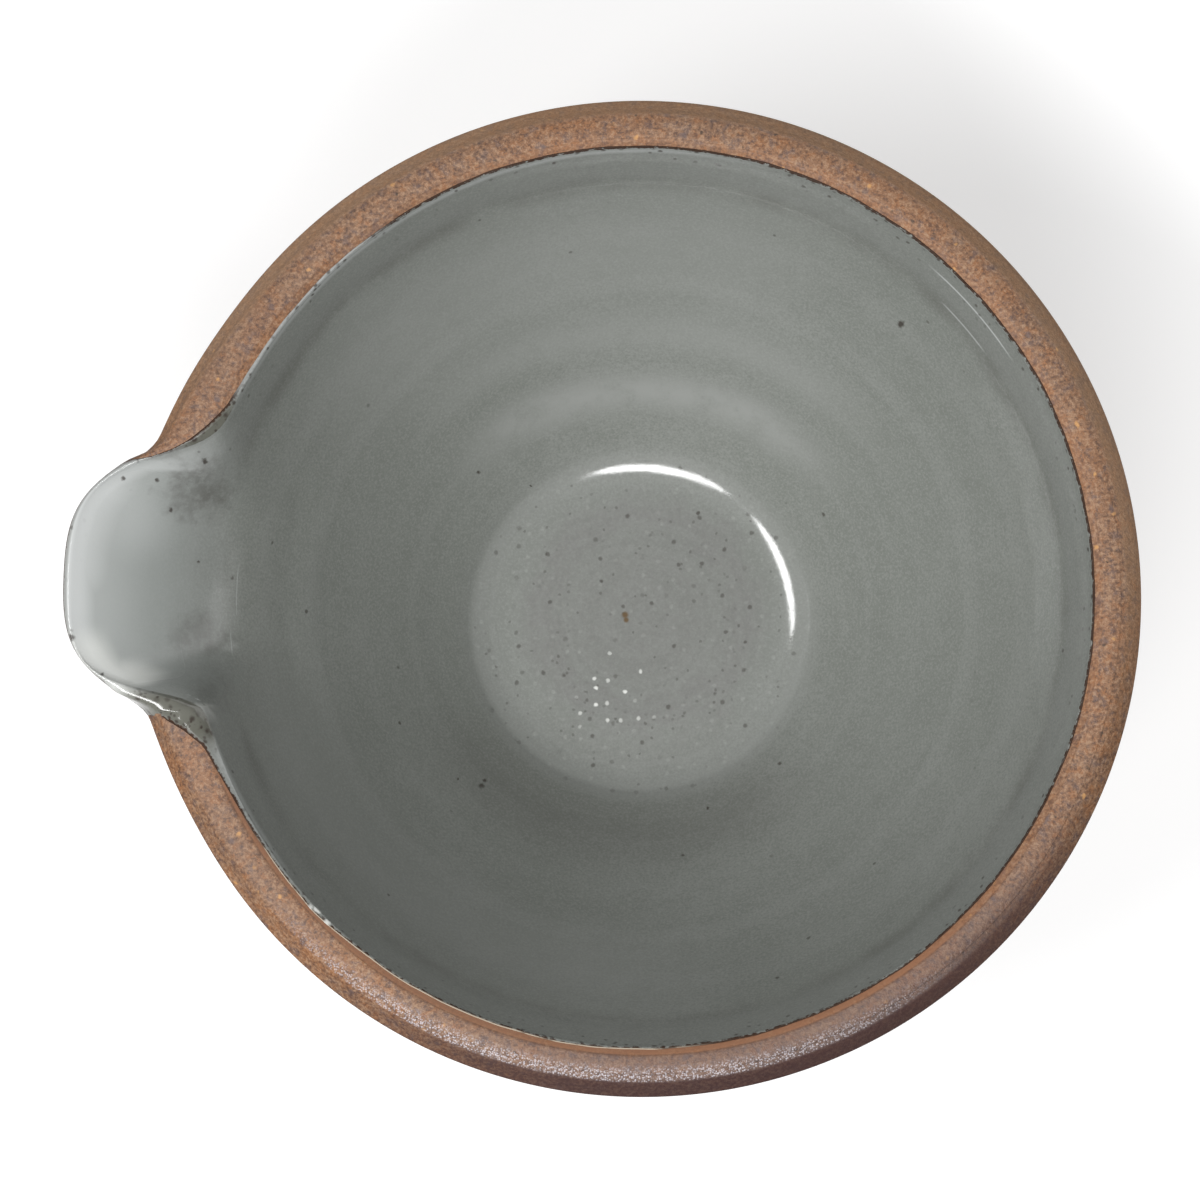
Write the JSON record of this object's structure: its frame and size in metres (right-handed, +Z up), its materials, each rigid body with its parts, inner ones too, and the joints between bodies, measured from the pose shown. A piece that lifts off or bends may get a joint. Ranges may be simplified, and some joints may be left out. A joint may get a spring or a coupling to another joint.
{
  "type": "spouted bowl",
  "caption": "Thrown stoneware bowl with a bare clay rim and outside, a glaze lining, one pulled pouring lip and a turned foot.",
  "frame": {"origin": "on the standing surface, under the middle of the overall box; the bowl's axis is half the lip's reach towards +X", "axes": "+Z up out of the bowl's mouth, -X towards the pouring lip"},
  "size_m": [0.162, 0.15, 0.0686],
  "materials": {
    "stoneware": "unglazed, iron-brown, fine grog",
    "glaze": "glossy grey-green glaze with iron specks"
  },
  "bodies": {
    "root": {"foot_ring": "stoneware", "floor": "stoneware", "wall": "stoneware", "rim": "stoneware", "pouring_lip": "stoneware", "well_glaze": "glaze", "wall_glaze": "glaze", "lip_glaze": "glaze"}
  },
  "joints": []
}
